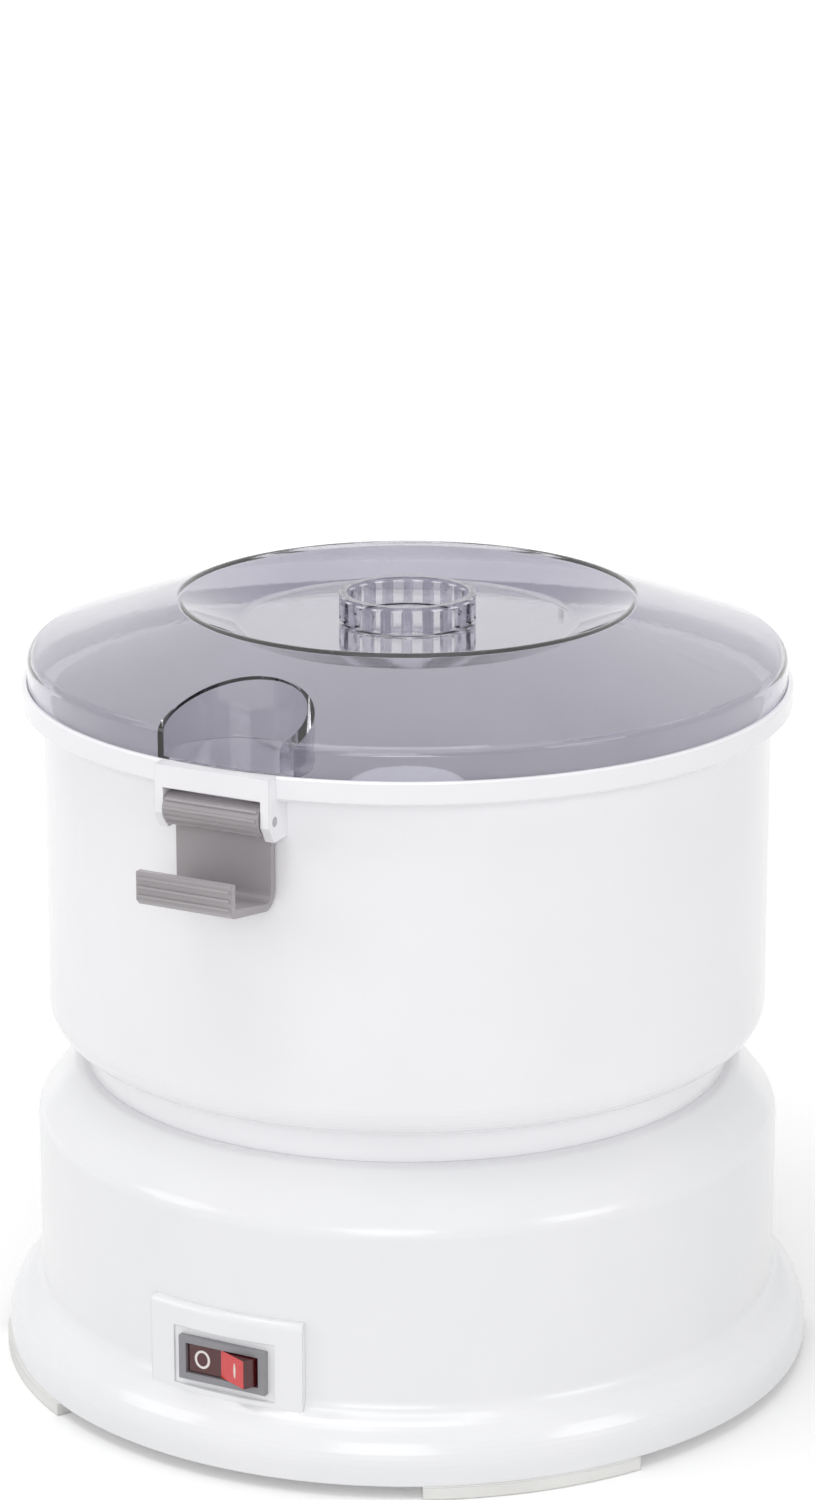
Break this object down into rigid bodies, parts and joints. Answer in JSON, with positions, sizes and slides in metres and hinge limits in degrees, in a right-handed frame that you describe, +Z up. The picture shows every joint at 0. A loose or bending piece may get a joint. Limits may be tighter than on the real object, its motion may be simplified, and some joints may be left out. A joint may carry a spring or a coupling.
{
  "type": "electric potato peeler",
  "caption": "Countertop electric potato peeler: a motor base, a lift-off bowl with a spinning grater disc, and a clear domed lid held by a swing latch.",
  "frame": {"origin": "on the table plane under the axis of the disc", "axes": "+Z up along the axis of the disc, -Y towards the front with the latch and the switch, +X to the right seen from the front"},
  "size_m": [0.2684, 0.28, 0.2568],
  "materials": {
    "white_gloss": "glossy white ABS",
    "deck_white": "glossy white ABS",
    "under_white": "plain moulded white ABS",
    "foot_white": "soft white plastic",
    "bowl_white": "glossy white polypropylene",
    "disc_white": "glossy white ABS",
    "latch_grey": "satin warm grey",
    "coupling_grey": "satin grey acetal",
    "bezel_silver": "silver grey",
    "rocker_red": "glossy translucent red",
    "black_plastic": "black moulded",
    "rod_black": "black acetal",
    "plunger_dark": "dark grey acetal",
    "nylon": "natural nylon",
    "capacitor_yellow": "yellow film capacitor case",
    "lead_insulation": "PVC lead insulation",
    "seal_rubber": "dark seal rubber",
    "grommet_rubber": "dark rubber",
    "steel": "bright steel",
    "zinc_sheet": "zinc-plated sheet",
    "laminations": "varnished laminations",
    "copper": "enamelled copper",
    "brass": "bright brass",
    "bronze": "oiled sintered bronze",
    "carbon": "carbon",
    "grater_steel": "stamped stainless sheet",
    "clear_lid": "clear polycarbonate"
  },
  "bodies": {
    "base": {"base_housing": "white_gloss", "top_deck": "deck_white", "bottom_plate": "under_white", "foot_pads": "foot_white", "cover_screws": "steel", "gear_plate": "zinc_sheet", "gear_plate_screws": "steel", "motor_stator": "laminations", "field_coils": "copper", "motor_spacers": "zinc_sheet", "motor_bracket": "zinc_sheet", "motor_bolts": "steel", "brush_holders": "brass", "carbon_brushes": "carbon", "motor_bush_lower": "bronze", "motor_bush_upper": "bronze", "output_bush_lower": "bronze", "output_bush_upper": "bronze", "shaft_seal": "seal_rubber", "idler_pin": "steel", "switch_bezel": "bezel_silver", "switch_body": "black_plastic", "switch_terminals": "brass", "interlock_switch": "black_plastic", "plunger_spring": "steel", "cord_grommet": "grommet_rubber", "suppression_capacitor": "capacitor_yellow", "terminal_block": "nylon", "inner_leads": "lead_insulation"},
    "rocker": {"rocker": "rocker_red"},
    "plunger": {"interlock_plunger": "plunger_dark"},
    "motor_rotor": {"motor_shaft": "steel", "motor_pinion": "brass", "armature_core": "laminations", "armature_windings": "copper", "commutator": "copper", "cooling_fan": "black_plastic"},
    "idler": {"idler_gear": "nylon"},
    "output": {"output_gear": "nylon", "output_shaft": "steel", "output_circlip": "steel", "drive_coupling": "coupling_grey"},
    "bowl": {"bowl": "bowl_white", "latch_pin": "steel", "tower_bush": "bronze", "tower_seal": "seal_rubber"},
    "latch": {"latch": "latch_grey"},
    "rod": {"interlock_rod": "rod_black"},
    "spindle": {"bowl_spindle": "steel", "spindle_dog": "coupling_grey"},
    "disc": {"disc_frame": "disc_white", "grater_plates": "grater_steel", "hub_socket": "coupling_grey"},
    "lid": {"lid": "clear_lid"}
  },
  "joints": [
    {"name": "rocker_press", "type": "hinge", "parent": "base", "child": "rocker", "pos_m": [0, -0.1217, 0.035], "axis": [0, 0, -1], "range_deg": [-23, 0]},
    {"name": "output_spin", "type": "hinge", "parent": "base", "child": "output", "pos_m": [0, 0, 0.02], "axis": [0, 0, 1], "continuous": true},
    {"name": "idler_spin", "type": "hinge", "parent": "base", "child": "idler", "pos_m": [-0.04375, 0, 0.02], "axis": [0, 0, 1], "continuous": true},
    {"name": "motor_spin", "type": "hinge", "parent": "base", "child": "motor_rotor", "pos_m": [-0.06975, 0, 0.05], "axis": [0, 0, 1], "continuous": true},
    {"name": "plunger_slide", "type": "slide", "parent": "base", "child": "plunger", "axis": [0, 0, 1], "range_m": [-0.0025, 0], "stiffness_N_per_m": 300, "springref_m": 0.004, "deforming": ["plunger_spring"]},
    {"name": "bowl_lift", "type": "slide", "parent": "base", "child": "bowl", "axis": [0, 0, 1], "range_m": [0, 0.066]},
    {"name": "latch_swing", "type": "hinge", "parent": "bowl", "child": "latch", "pos_m": [0, -0.1244, 0.2156], "axis": [1, 0, 0], "range_deg": [-75, 0]},
    {"name": "rod_slide", "type": "slide", "parent": "bowl", "child": "rod", "axis": [0, 0, 1], "range_m": [-0.0025, 0], "stiffness_N_per_m": 300, "springref_m": 0.004},
    {"name": "spindle_spin", "type": "hinge", "parent": "bowl", "child": "spindle", "pos_m": [0, 0, 0.16], "axis": [0, 0, 1], "continuous": true},
    {"name": "disc_lift", "type": "slide", "parent": "spindle", "child": "disc", "axis": [0, 0, 1], "range_m": [0, 0.11856]},
    {"name": "lid_lift", "type": "slide", "parent": "bowl", "child": "lid", "axis": [0, 0, 1], "range_m": [0, 0.114]}
  ],
  "couplings": [
    {"joint": "idler_spin", "follows": "output_spin", "ratio": -4},
    {"joint": "motor_spin", "follows": "output_spin", "ratio": 16},
    {"joint": "spindle_spin", "follows": "output_spin", "ratio": 1},
    {"joint": "plunger_slide", "follows": "rod_slide", "ratio": 1},
    {"joint": "disc_lift", "follows": "lid_lift", "ratio": 1.04}
  ]
}
